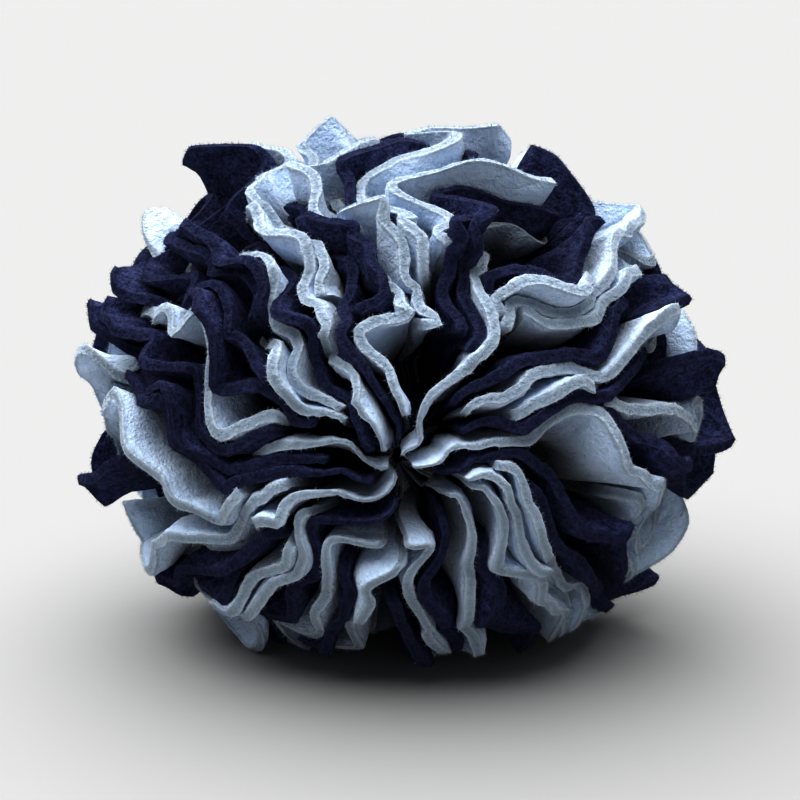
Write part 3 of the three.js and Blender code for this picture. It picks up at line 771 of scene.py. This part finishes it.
    def surface(self) -> tuple[np.ndarray, ...]:
        """The cloth's middle surface.

        Returns:
            The points (across the falls, then outwards), the distances in mm from the cut edges
            along both ways of the grid, how far from tucked the cloth is at each fall, how much of
            its thickness it keeps there between its neighbours, and how far out each point lies,
            lowered towards the tucked ends as painted shade.
        """
        lay = self.layering
        falls = self._falls()
        depth_in = np.interp(falls, lay.stations, lay.tie_depth)
        tie_clock = np.interp(falls, lay.stations, lay.tie_clocks[self.index])
        inner = self.globe.point(tie_clock, falls, depth_in)
        outer = self.globe.point(self._clock(falls), falls, np.ones_like(falls))
        edge = np.maximum((self._edge_depth(falls) - depth_in) / (1.0 - depth_in), self.least_flap)
        from_edge = np.array(self.rows_in)
        out = 1.0 - from_edge[::-1] / from_edge[-1]
        share = edge[:, None] * out[None, :]
        points = inner[:, None, :] + (outer - inner)[:, None, :] * share[:, :, None]
        depth = depth_in[:, None] + (1.0 - depth_in)[:, None] * share
        first, _, _, last = lay.corners(self.index)
        tucked = np.maximum(first - falls, falls - last)
        # painted shade: the depth mark is lowered towards the tucked ends so that the material darkens
        # them
        depth = depth * (1.0 - self.tucked_shade * smoothstep(tucked, *self.shade_lead))[:, None]
        sideways = np.linalg.norm(np.diff(points[:, -1], axis=0), axis=1)
        along = np.concatenate(([0.0], np.cumsum(sideways)))
        free = 1.0 - smoothstep(tucked, 0.0, self.free_lead)
        kept = np.interp(falls, lay.stations, lay.kept[self.index])
        return points, np.minimum(along, along[-1] - along), from_edge[::-1], free, kept, depth

    def build(self, ripple: Ripple, sway: list[Ripple], nap: Ripple) -> bpy.types.Object:
        """Makes the square's mesh, a closed sheet with blunt edges.

        Args:
            ripple: the slow unevenness of the cloth.
            sway: small bends that neighbours share, one for each axis.
            nap: the fine unevenness of its surface.

        Returns:
            The new object.
        """
        points, from_ends, from_edge, free, kept, depth = self.surface()
        along = np.gradient(points, axis=0)
        outward = np.gradient(points, axis=1)
        normal = np.cross(along, outward)
        normal /= np.linalg.norm(normal, axis=-1, keepdims=True)
        points = points + normal * (self.ripple_height * ripple.at(points))[..., None]
        points = points + self.sway_height * np.stack([way.at(points) for way in sway], axis=-1)
        away = np.hypot(points[..., 0], points[..., 2] - self.globe.axis_height)
        grown = smoothstep(away, *self.thickens)
        thick = self.tie_thickness + (self.thickness - self.tie_thickness) * grown
        thick = self.tucked_thickness + (thick * kept[:, None] - self.tucked_thickness) * free[:, None]
        round_ends = rounding_profile(from_ends, self.edge_radius, self.edge_blunt)
        round_edge = rounding_profile(from_edge, self.edge_radius, self.edge_blunt)
        half = thick / 2.0 * np.minimum(round_ends[:, None], round_edge[None, :])
        sides = []
        for side in (1.0, -1.0):
            face = points + side * normal * half[..., None]
            face = face + side * normal * (self.nap_height * nap.at(face))[..., None]
            sides.append(face)
        rows, cols = points.shape[:2]
        loop = [(0, col) for col in range(cols)]
        loop += [(row, cols - 1) for row in range(1, rows)]
        loop += [(rows - 1, col) for col in range(cols - 2, -1, -1)]
        loop += [(row, 0) for row in range(rows - 2, 0, -1)]
        ring = np.array(loop)
        mid = points[ring[:, 0], ring[:, 1]]
        inside = points[np.clip(ring[:, 0], 1, rows - 2), np.clip(ring[:, 1], 1, cols - 2)]
        away_from = mid - inside
        away_from /= np.maximum(np.linalg.norm(away_from, axis=1, keepdims=True), 1e-9)
        mid = mid + away_from * self.edge_bulge
        vertices = np.concatenate((sides[0].reshape(-1, 3), sides[1].reshape(-1, 3), mid))
        vertices[:, 2] = np.maximum(vertices[:, 2], 0.0)
        number = np.arange(rows * cols).reshape(rows, cols)
        quads = (number[:-1, :-1], number[1:, :-1], number[1:, 1:], number[:-1, 1:])
        quads = np.stack(quads, axis=-1).reshape(-1, 4)
        back = quads[:, ::-1] + rows * cols
        edge_front = number[ring[:, 0], ring[:, 1]]
        edge_back = edge_front + rows * cols
        edge_mid = 2 * rows * cols + np.arange(len(ring))
        after = np.roll(np.arange(len(ring)), -1)
        rim_front = np.stack((edge_front, edge_front[after], edge_mid[after], edge_mid), axis=-1)
        rim_back = np.stack((edge_mid, edge_mid[after], edge_back[after], edge_back), axis=-1)
        faces = np.concatenate((quads, back, rim_front, rim_back))
        marks = self._marks(np.minimum(from_ends[:, None], from_edge[None, :]), depth, ring)
        crisp = (edge_front, edge_back)
        creases = np.concatenate([np.stack((row, row[after]), axis=-1) for row in crisp])
        self.cloth = (vertices * MM, faces, marks)
        return self._object(vertices * MM, faces, marks, creases)

    def _marks(self, inward: np.ndarray, depth: np.ndarray, ring: np.ndarray) -> dict[str, np.ndarray]:
        """What the fleece's material and fuzz read at each corner point.

        Args:
            inward: how far in from the cut edges each point of the grid is, in mm.
            depth: how far out each point lies, as a share of the way to the ball's face, lowered
            towards the tucked ends as painted shade.
            ring: row and column of the points round the cut edge.

        Returns:
            A value for each point of the two faces and of the edge's middle line, by name.
        """
        rim = 1.0 - smoothstep(inward, *self.rim_width).ravel()
        border = 1.0 - smoothstep(inward, 0.0, self.border_width).ravel()
        middle = np.ones(len(ring))
        marks = {
            "rim": np.concatenate((rim, rim, middle)),
            "border": np.concatenate((border, border, middle * self.middle_border)),
            # the depth mark drives the painted shade of the material and where the fuzz grows
            "depth": np.concatenate((depth.ravel(), depth.ravel(), depth[ring[:, 0], ring[:, 1]])),
        }
        fringe = self.rim_fringe * marks["rim"] + marks["border"] ** 2
        marks["fringe"] = fringe * smoothstep(marks["depth"], *self.fringe_depth)
        return marks

    def _object(self, vertices: np.ndarray, faces: np.ndarray, marks: dict[str, np.ndarray],
                creases: np.ndarray) -> bpy.types.Object:
        """Turns arrays into a mesh object with its point attributes.

        Args:
            vertices: corner points in metres.
            faces: four vertex numbers a face.
            marks: a value for each corner point, by attribute name.
            creases: pairs of vertex numbers along the crisp borders of the cut edges.

        Returns:
            The new object.
        """
        a, b, c, d = (vertices[faces[:, corner]] for corner in range(4))
        volume = np.einsum("ij,ij->i", a, np.cross(b, c) + np.cross(c, d)).sum()
        if volume < 0:
            faces = faces[:, ::-1]
        mesh = bpy.data.meshes.new(self.name)
        mesh.from_pydata(vertices.tolist(), [], faces.tolist())
        mesh.polygons.foreach_set("use_smooth", np.ones(len(faces), bool))
        add_marks(mesh, marks)
        ends = np.empty(2 * len(mesh.edges), int)
        mesh.edges.foreach_get("vertices", ends)
        ends = np.sort(ends.reshape(-1, 2), axis=1) @ (len(vertices), 1)
        crisp = np.isin(ends, np.sort(creases, axis=1) @ (len(vertices), 1))
        mesh.attributes.new("sharp_edge", "BOOLEAN", "EDGE").data.foreach_set("value", crisp)
        mesh.update()
        return add_object(self.name, mesh)


class Socket:
    """A node's output that can be reckoned with like a number."""

    def __init__(self, tree: bpy.types.NodeTree, output: bpy.types.NodeSocket) -> None:
        """Wraps one output socket of a tree."""
        self.tree = tree
        self.output = output

    def beside(self, name: str) -> "Socket":
        """Another output of the same node."""
        return Socket(self.tree, self.output.node.outputs[name])

    def _math(self, operation: str, *values: "Socket | float", clamp: bool = False) -> "Socket":
        """Adds a Math node.

        Args:
            operation: the node's operation.
            values: its inputs, in order.
            clamp: whether the result is kept from 0 to 1.

        Returns:
            The node's result.
        """
        made = self.tree.nodes.new("ShaderNodeMath")
        made.operation = operation
        made.use_clamp = clamp
        for socket, value in zip(made.inputs, values):
            plug(self.tree, socket, value)
        return Socket(self.tree, made.outputs[0])

    def __add__(self, other: "Socket | float") -> "Socket":
        """Sum."""
        return self._math("ADD", self, other)

    def __sub__(self, other: "Socket | float") -> "Socket":
        """Difference."""
        return self._math("SUBTRACT", self, other)

    def __mul__(self, other: "Socket | float") -> "Socket":
        """Product."""
        return self._math("MULTIPLY", self, other)

    __radd__ = __add__
    __rmul__ = __mul__

    def clamped(self) -> "Socket":
        """The value kept from 0 to 1."""
        return self._math("ADD", self, 0.0, clamp=True)

    def ramp(self, low: float, high: float) -> "Socket":
        """0 below low, 1 above high and straight between them."""
        return ((self - low) * (1.0 / (high - low))).clamped()


Value = Socket | float | str | tuple[float, ...] | bpy.types.Material


def plug(tree: bpy.types.NodeTree, socket: bpy.types.NodeSocket, value: Value) -> None:
    """Feeds an input.

    Args:
        tree: the tree it is in.
        socket: the input.
        value: another node's output to link it to, or a value of its own.
    """
    if isinstance(value, Socket):
        tree.links.new(value.output, socket)
    else:
        socket.default_value = value


class Graph:
    """A node tree under construction."""

    def __init__(self, tree: bpy.types.NodeTree) -> None:
        """Takes up a tree."""
        self.tree = tree

    def node(self, kind: str, settings: dict | None = None, output: str = "",
             **values: Value) -> Socket | None:
        """Adds a node.

        Args:
            kind: the node's type.
            settings: its own settings, set before its sockets.
            output: the name of the wanted output, or nothing for the first.
            values: numbers, colours or links for its inputs, by name with _ for a space.

        Returns:
            The wanted output, where the node has one.
        """
        made = self.tree.nodes.new(kind)
        for key, setting in (settings or {}).items():
            setattr(made, key, setting)
        for key, value in values.items():
            wanted = key.replace("_", " ")
            socket = next(one for one in made.inputs if one.name == wanted and one.enabled)
            plug(self.tree, socket, value)
        found = [one for one in made.outputs if one.enabled and output in ("", one.name)]
        return Socket(self.tree, found[0]) if found else None


class Shader(Graph):
    """A material under construction."""

    def __init__(self, name: str) -> None:
        """Starts an empty material.

        Args:
            name: the material's name.
        """
        self.material = bpy.data.materials.new(name)
        self.material.use_nodes = True
        super().__init__(self.material.node_tree)
        self.tree.nodes.clear()

    def blend(self, low: Value, high: Value, share: Socket) -> Socket:
        """Mixes two colours by a share."""
        return self.node("ShaderNodeMix", {"data_type": "RGBA"}, Factor=share, A=low, B=high)

    def dress(self, **values: Value) -> bpy.types.Material:
        """Ends the material in a principled surface with these inputs."""
        self.node("ShaderNodeOutputMaterial", Surface=self.node("ShaderNodeBsdfPrincipled", **values))
        return self.material


@dataclass(frozen=True)
class Fuzz:
    """Loose fibres that stand off the cut edges, grown by Geometry Nodes."""

    density: float = 3.6e6
    length: float = 0.00105
    radius: float = 0.00007
    lean: float = 1.0
    shortest: float = 0.35
    seed: int = 11
    barest: float = 0.02

    def _tree(self, material: bpy.types.Material) -> tuple[bpy.types.NodeTree, dict[str, str]]:
        """Makes the tree that grows the fibres.

        Args:
            material: the material of the fleece they stand off.

        Returns:
            The tree, and the identifier of each of its inputs by name.
        """
        tree = bpy.data.node_groups.new("fuzz", "GeometryNodeTree")
        tree.interface.new_socket("Cloth", in_out="INPUT", socket_type="NodeSocketGeometry")
        names = {}
        for name in ("Density", "Length", "Radius", "Lean", "Seed"):
            kind = "NodeSocketInt" if name == "Seed" else "NodeSocketFloat"
            names[name] = tree.interface.new_socket(name, in_out="INPUT", socket_type=kind).identifier
        tree.interface.new_socket("Fibres", in_out="OUTPUT", socket_type="NodeSocketGeometry")
        graph = Graph(tree)
        cloth = graph.node("NodeGroupInput", output="Cloth")
        density, length, radius, lean, seed = (cloth.beside(name) for name in names)
        fringe = graph.node("GeometryNodeInputNamedAttribute", {"data_type": "FLOAT"}, Name="fringe")
        spots = graph.node("GeometryNodeDistributePointsOnFaces", Mesh=cloth,
                           Density=fringe * density, Seed=seed)
        fibre = graph.node("GeometryNodeMeshCone", {"fill_type": "NONE"}, Vertices=3, Radius_Top=0.0,
                           Radius_Bottom=radius, Depth=length)
        back = lean * -1.0
        least = graph.node("ShaderNodeCombineXYZ", X=back, Y=back, Z=0.0)
        most = graph.node("ShaderNodeCombineXYZ", X=lean, Y=lean, Z=2.0 * math.pi)
        leaning = graph.node("FunctionNodeRandomValue", {"data_type": "FLOAT_VECTOR"}, Min=least,
                             Max=most, Seed=seed)
        turned = graph.node("FunctionNodeEulerToRotation", Euler=leaning)
        way = graph.node("FunctionNodeRotateRotation", {"rotation_space": "LOCAL"},
                         Rotation=spots.beside("Rotation"), Rotate_By=turned)
        size = graph.node("FunctionNodeRandomValue", {"data_type": "FLOAT"}, Min=self.shortest,
                          Max=1.0, Seed=seed)
        grown = graph.node("GeometryNodeInstanceOnPoints", Points=spots, Instance=fibre, Rotation=way,
                           Scale=size)
        solid = graph.node("GeometryNodeRealizeInstances", Geometry=grown)
        dressed = graph.node("GeometryNodeSetMaterial", Geometry=solid, Material=material)
        graph.node("NodeGroupOutput", Fibres=dressed)
        return tree, names

    def grow(self, name: str, squares: list[FleeceSquare],
             material: bpy.types.Material) -> bpy.types.Object:
        """Grows the fibres of one fleece.

        Args:
            name: the piece's name.
            squares: the squares cut from that fleece.
            material: the fleece's material.

        Returns:
            The fibres as one plain mesh.
        """
        points, corners, used_up = [], [], 0
        marks: dict[str, list[np.ndarray]] = {"fringe": [], "rim": [], "border": [], "depth": []}
        for square in squares:
            vertices, faces, values = square.cloth
            hairy = faces[values["fringe"][faces].max(axis=1) > self.barest]
            used, back = np.unique(hairy, return_inverse=True)
            points.append(vertices[used])
            corners.append(back.reshape(-1, 4) + used_up)
            for key, rows in marks.items():
                rows.append(values[key][used])
            used_up += len(used)
        mesh = bpy.data.meshes.new(f"{name}_ground")
        mesh.from_pydata(np.concatenate(points).tolist(), [], np.concatenate(corners).tolist())
        add_marks(mesh, {key: np.concatenate(rows) for key, rows in marks.items()})
        ground = add_object(mesh.name, mesh)
        tree, names = self._tree(material)
        modifier = ground.modifiers.new("fuzz", "NODES")
        modifier.node_group = tree
        for key, identifier in names.items():
            modifier[identifier] = getattr(self, key.lower())
        seen = ground.evaluated_get(bpy.context.evaluated_depsgraph_get())
        fibres = bpy.data.meshes.new_from_object(seen)
        fibres.name = name
        ground.modifiers.remove(modifier)
        bpy.data.objects.remove(ground)
        return add_object(name, fibres)


def paint(red: float, green: float, blue: float) -> Colour:
    """A colour given by its three linear shares, made opaque."""
    return (red, green, blue, 1.0)


@dataclass(frozen=True)
class FleeceFinish:
    """The look of one fleece."""

    name: str
    # the raised pile: the fleece's own tone, partly a painted highlight on the pills
    face: Colour
    # the pile's hollows: the fleece's own tone, partly painted shade between the pills
    pile_hollow_tone_and_shade: Colour
    rim: Colour
    nap: Colour
    # painted shade: the near-black colour the cloth takes where it lies deep in the ball or is tucked away
    painted_deep_shade: Colour
    roughness: float = 0.95
    sheen: float = 0.35
    sheen_tint: Colour = WHITE
    pill_scale: float = 1500.0
    clump_scale: float = 560.0
    pill_height: float = 0.0006
    clump_height: float = 0.0014
    clump_strength: float = 0.9
    rim_strength: float = 0.85
    pill_range: Pair = (0.40, 0.60)
    clump_range: Pair = (0.42, 0.60)
    drift_scale: float = 28.0
    drift_share: float = 0.15
    drift_range: Pair = (0.3, 0.7)
    pill_share: float = 0.5
    fringe_least: float = 0.75
    wide_range: Pair = (0.35, 0.65)
    nap_least: float = 0.4
    nap_more: float = 0.5
    # the range of the depth attribute over which the painted shade gives way to the unshaded colour
    lit_depth: Pair = (0.72, 1.0)

    def material(self) -> bpy.types.Material:
        """Makes the fleece's material.

        Returns:
            A material on object coordinates, with the cut edges marked by the rim attribute, and painted
            shade that darkens the colour where the depth attribute is low.
        """
        shader = Shader(self.name)
        place = shader.node("ShaderNodeTexCoord", output="Object")
        rim, border, depth = (
            shader.node("ShaderNodeAttribute", {"attribute_name": name}, output="Fac")
            for name in ("rim", "border", "depth")
        )
        pills = shader.node("ShaderNodeTexNoise", Vector=place, Scale=self.pill_scale, Detail=4.0,
                            Roughness=0.65)
        clumps = shader.node("ShaderNodeTexNoise", Vector=place, Scale=self.clump_scale, Detail=3.0,
                             Roughness=0.6)
        drift = shader.node("ShaderNodeTexNoise", Vector=place, Scale=self.drift_scale, Detail=2.0)
        # the pile's mottle: lighter on the raised pills and darker in the hollows, partly painted
        # highlight and painted shade
        raised = pills.ramp(*self.pill_range) * self.pill_share
        raised = (raised + clumps.ramp(*self.clump_range) * (1.0 - self.pill_share)).clamped()
        raised = raised * (1.0 - self.drift_share) + drift.ramp(*self.drift_range) * self.drift_share
        speckled = pills.ramp(*self.wide_range)
        fringe = rim * (self.fringe_least + (1.0 - self.fringe_least) * speckled) * self.rim_strength
        napped = border * border * (self.nap_least + self.nap_more * speckled)
        # the pile's colour: its own tone, with painted shade in the hollows and a painted highlight on the
        # pills
        cloth = shader.blend(self.pile_hollow_tone_and_shade, self.face, raised.clamped())
        lit = shader.blend(cloth, self.rim, fringe.clamped())
        lit = shader.blend(lit, self.nap, napped.clamped())
        height = pills * self.pill_height + clumps * self.clump_height
        bump = shader.node("ShaderNodeBump", Height=height, Strength=self.clump_strength, Distance=1.0)
        return shader.dress(
            # painted shade: the colour darkens towards black as the depth attribute falls
            Base_Color=shader.blend(self.painted_deep_shade, lit, depth.ramp(*self.lit_depth)),
            Roughness=self.roughness,
            Sheen_Weight=self.sheen,
            Sheen_Roughness=0.6,
            Sheen_Tint=self.sheen_tint,
            Specular_IOR_Level=0.1,
            Normal=bump,
        )


@dataclass
class SnuffleBall:
    """All the squares of the ball."""

    globe: Globe = field(default_factory=Globe)
    pieces: list[bpy.types.Object] = field(default_factory=list)

    def build(self, finishes: dict[Tone, bpy.types.Material]) -> None:
        """Args:
            finishes: the material of each fleece.
        """
        layering = Layering(CUTS, self.globe)
        ripple, nap = Ripple(wavelength=24.0, seed=3), Ripple(wavelength=2.2, seed=5, waves=14)
        sway = [Ripple(wavelength=19.0, seed=seed) for seed in (7, 8, 9)]
        solids, extras = count(1), count(1 + sum(cut.solid for cut in CUTS))
        squares: list[FleeceSquare] = []
        for index, cut in enumerate(CUTS):
            number = next(solids if cut.solid else extras)
            name = f"{cut.tone.value}_fleece_{number:02d}"
            square = FleeceSquare(index, cut, name, layering, self.globe)
            piece = square.build(ripple, sway, nap)
            piece.data.materials.append(finishes[cut.tone])
            self._declare(piece, cut.tone)
            if cut.solid:
                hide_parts(f"{cut.tone.value}_square_{number:02d}")
            self.pieces.append(piece)
            squares.append(square)
        fuzz: dict[Tone, bpy.types.Object] = {}
        for tone, material in finishes.items():
            own = [square for square in squares if square.cut.tone is tone]
            fuzz[tone] = Fuzz().grow(f"{tone.value}_fuzz", own, material)
            self._declare(fuzz[tone], tone)
        for cut, piece, after in zip(CUTS, self.pieces, self.pieces[1:] + self.pieces[:1]):
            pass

    @staticmethod
    def _declare(piece: bpy.types.Object, tone: Tone) -> None:
        """Says what a piece rides on and logs how many faces it has.

        Args:
            piece: the piece.
            tone: its fleece; not used.
        """
        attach(piece, "root")
        log.info("%s: %d faces", piece.name, len(piece.data.polygons))


@dataclass
class Studio:
    """The pale floor, the soft light and the camera."""

    target: tuple[float, float, float] = (0.0, 0.0, 0.061)
    elevation: float = 16.5
    distance: float = 0.48
    lens: float = 86.4
    floor_half: float = 3.0
    floor_colour: Colour = paint(0.295, 0.295, 0.292)
    room_colour: Colour = paint(0.93, 0.95, 1.0)
    room_strength: float = 0.34
    gamma: float = 0.72
    sensor: float = 36.0

    def floor(self) -> None:
        """Lays a pale floor that isn't part of the object."""
        half = self.floor_half
        mesh = bpy.data.meshes.new("floor")
        corners = [(-half, -half, 0.0), (half, -half, 0.0), (half, half, 0.0), (-half, half, 0.0)]
        mesh.from_pydata(corners, [], [(0, 1, 2, 3)])
        finish = Shader("pale_floor").dress(
            Base_Color=self.floor_colour, Roughness=1.0, Specular_IOR_Level=0.0
        )
        mesh.materials.append(finish)
        add_object("floor", mesh)

    def sun(self, name: str, azimuth: float, elevation: float, angle: float, strength: float) -> None:
        """Hangs a broad, soft light far away.

        Args:
            name: the light's name.
            azimuth: where it comes from, in degrees from behind the ball towards the right of the view.
            elevation: how high it stands, in degrees.
            angle: how broad it looks, in degrees.
            strength: its strength.
        """
        data = bpy.data.lights.new(name, "SUN")
        data.angle = math.radians(angle)
        data.energy = strength
        lamp = add_object(name, data)
        turn, rise = math.radians(azimuth), math.radians(elevation)
        way = Vector((math.sin(turn) * math.cos(rise), math.cos(turn) * math.cos(rise), math.sin(rise)))
        lamp.rotation_euler = way.to_track_quat("Z", "Y").to_euler()

    def build(self) -> None:
        """Sets up the whole studio."""
        self.floor()
        self.sun("soft_light", azimuth=-50.0, elevation=77.0, angle=90.0, strength=8.8)
        world = bpy.data.worlds.new("soft_room")
        world.use_nodes = True
        background = world.node_tree.nodes["Background"]
        background.inputs["Color"].default_value = self.room_colour
        background.inputs["Strength"].default_value = self.room_strength
        bpy.context.scene.world = world
        bpy.context.scene.view_settings.view_transform = "Standard"
        bpy.context.scene.view_settings.gamma = self.gamma
        data = bpy.data.cameras.new("camera")
        data.sensor_width = self.sensor
        data.lens = self.lens
        camera = add_object("camera", data)
        steep = math.radians(self.elevation)
        back = Vector((0.0, -math.cos(steep), math.sin(steep)))
        camera.location = Vector(self.target) + back * self.distance
        camera.rotation_euler = (-back).to_track_quat("-Z", "Y").to_euler()
        bpy.context.scene.camera = camera


FINISHES = {
    Tone.PALE: FleeceFinish(
        "pale_fleece",
        # raised pile: own tone, partly a painted highlight
        face=paint(0.68, 0.83, 1.0),
        # pile hollows: own tone, partly painted shade
        pile_hollow_tone_and_shade=paint(0.54, 0.69, 0.94),
        rim=paint(0.185, 0.24, 0.29),
        nap=paint(0.58, 0.68, 0.79),
        # painted shade for the deep and tucked parts of the pale squares
        painted_deep_shade=paint(0.010, 0.014, 0.022),
    ),
    Tone.NAVY: FleeceFinish(
        "navy_fleece",
        # raised pile: own tone, partly a painted highlight
        face=paint(0.062, 0.076, 0.185),
        # pile hollows: own tone, partly painted shade
        pile_hollow_tone_and_shade=paint(0.0030, 0.0040, 0.014),
        rim=paint(0.005, 0.006, 0.018),
        nap=paint(0.034, 0.042, 0.100),
        # painted shade for the deep and tucked parts of the navy squares
        painted_deep_shade=paint(0.004, 0.005, 0.016),
        sheen=0.03,
        sheen_tint=paint(0.45, 0.5, 0.85),
        rim_strength=0.55,
    ),
}


def main() -> None:
    """Builds the ball and its studio."""
    logging.basicConfig(level=logging.INFO, format="%(name)s %(message)s")
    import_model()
    SnuffleBall().build({tone: finish.material() for tone, finish in FINISHES.items()})
    Studio().build()


if __name__ == "__main__":
    main()
